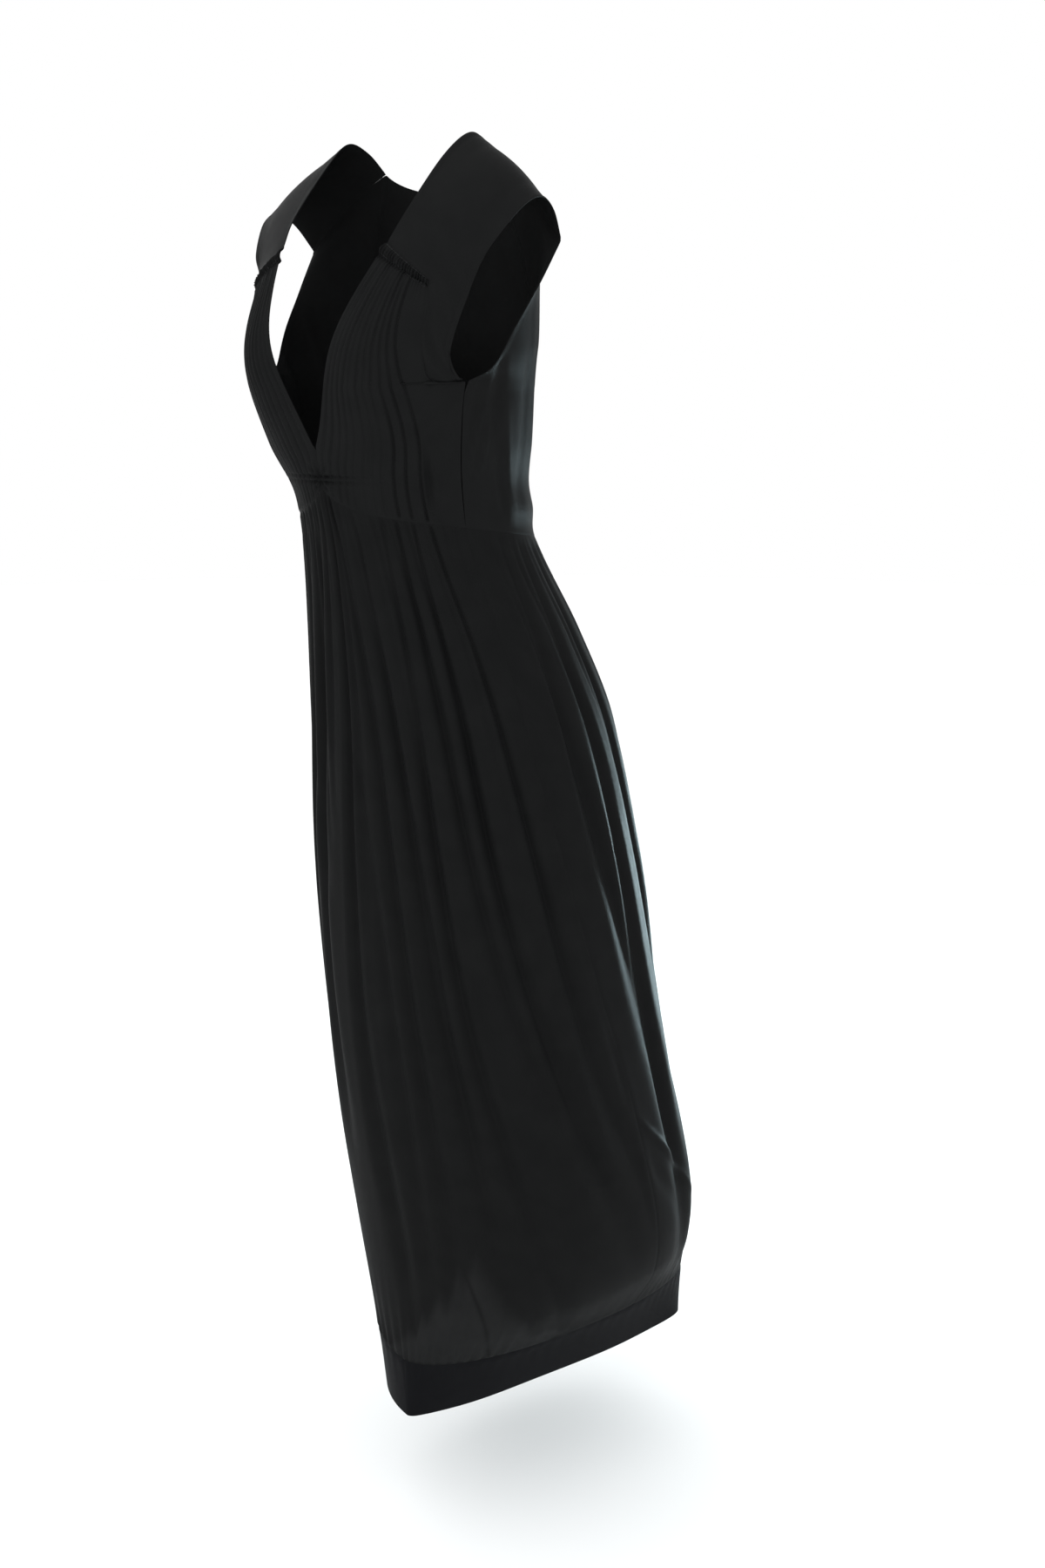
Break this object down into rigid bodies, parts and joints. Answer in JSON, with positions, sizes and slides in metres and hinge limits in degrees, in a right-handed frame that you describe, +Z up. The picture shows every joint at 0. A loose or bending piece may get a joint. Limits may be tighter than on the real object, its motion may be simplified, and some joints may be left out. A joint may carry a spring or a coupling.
{
  "type": "maxi dress",
  "caption": "Sleeveless black maxi dress with a deep V neck, tucked bodice, long pleated skirt and a narrow hem band, worn and hollow.",
  "frame": {"origin": "middle of the wearer's shoulders, between the two shoulder lines", "axes": "+Z up along the wearer, -Y to the wearer's front, +X to the wearer's left"},
  "size_m": [0.414, 0.4906, 1.386],
  "materials": {
    "crepe": "matt fluid crepe with a faint cool sheen",
    "hem_crepe": "the same crepe, doubled and opaque"
  },
  "bodies": {
    "root": {"yoke_left": "crepe", "yoke_right": "crepe", "bodice_front_left": "crepe", "bodice_front_right": "crepe", "bodice_back": "crepe", "skirt_front": "crepe", "skirt_back": "crepe", "hem_band": "hem_crepe"}
  },
  "joints": []
}
